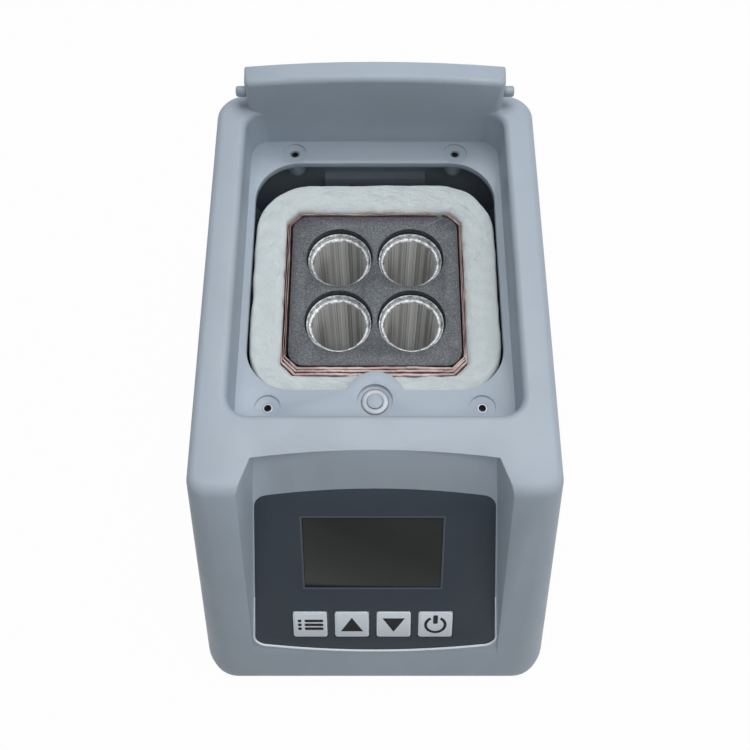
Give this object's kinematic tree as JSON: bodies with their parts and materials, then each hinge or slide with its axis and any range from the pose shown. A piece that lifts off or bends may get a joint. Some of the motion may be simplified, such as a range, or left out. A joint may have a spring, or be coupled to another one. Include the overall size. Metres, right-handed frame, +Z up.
{
  "type": "chemical oxygen demand reactor",
  "caption": "Bench heating reactor for digestion vials: moulded housing with a sunken top, insulated aluminium well block, sloped key panel with display and a hinge bar for a lid.",
  "frame": {"origin": "middle of the footprint, on the surface that it stands on", "axes": "+X to the right as seen from the key panel, +Y to the hinge bar, +Z up"},
  "size_m": [0.1582, 0.2596, 0.1356],
  "materials": {
    "housing_plastic": "fine satin moulded",
    "pin_plastic": "satin",
    "nickel": "satin nickel",
    "insert_metal": "satin",
    "base_plastic": "matte",
    "foot_rubber": "matte",
    "screw_steel": "zinc plated",
    "block_aluminium": "dark anodised",
    "liner_aluminium": "polished, turned",
    "heater_film": "copper brown film",
    "fibre_wool": "loose fibre",
    "insulation_board": "matte board",
    "tray_steel": "zinc plated sheet",
    "pillar_brass": "satin",
    "probe_steel": "satin",
    "cutout_ceramic": "matte",
    "overlay_film": "fine matte film",
    "display_glass": "clear",
    "display_black": "satin",
    "circuit_board": "solder mask",
    "switch_black": "matte",
    "key_plastic": "fine matte",
    "spacer_nylon": "natural",
    "transformer_black": "matte",
    "relay_blue": "matte",
    "inlet_black": "matte"
  },
  "bodies": {
    "case": {"housing": "housing_plastic", "hinge_pins": "pin_plastic", "catch_magnet": "nickel", "threaded_inserts": "insert_metal", "base_plate": "base_plastic", "feet": "foot_rubber", "base_screws": "screw_steel", "heating_block": "block_aluminium", "well_liners": "liner_aluminium", "heater_film": "heater_film", "fibre_wool": "fibre_wool", "insulation_board": "insulation_board", "block_tray": "tray_steel", "tray_pillars": "pillar_brass", "tray_screws": "screw_steel", "temperature_probe": "probe_steel", "thermal_cutout": "cutout_ceramic", "panel_overlay": "overlay_film", "display_glass": "display_glass", "display_module": "display_black", "control_board": "circuit_board", "key_switches": "switch_black", "board_screws": "screw_steel", "power_board": "circuit_board", "board_spacers": "spacer_nylon", "transformer": "transformer_black", "relay": "relay_blue", "mains_inlet": "inlet_black", "fuse_drawer": "inlet_black", "inlet_screws": "screw_steel"},
    "menu_key": {"key_menu": "key_plastic"},
    "up_key": {"key_up": "key_plastic"},
    "down_key": {"key_down": "key_plastic"},
    "power_key": {"key_power": "key_plastic"}
  },
  "joints": [
    {"name": "menu_key_press", "type": "slide", "parent": "case", "child": "menu_key", "axis": [0, 0.7923, -0.6101], "range_m": [0, 0.0008], "stiffness_N_per_m": 150},
    {"name": "up_key_press", "type": "slide", "parent": "case", "child": "up_key", "axis": [0, 0.7923, -0.6101], "range_m": [0, 0.0008], "stiffness_N_per_m": 150},
    {"name": "down_key_press", "type": "slide", "parent": "case", "child": "down_key", "axis": [0, 0.7923, -0.6101], "range_m": [0, 0.0008], "stiffness_N_per_m": 150},
    {"name": "power_key_press", "type": "slide", "parent": "case", "child": "power_key", "axis": [0, 0.7923, -0.6101], "range_m": [0, 0.0008], "stiffness_N_per_m": 150}
  ]
}
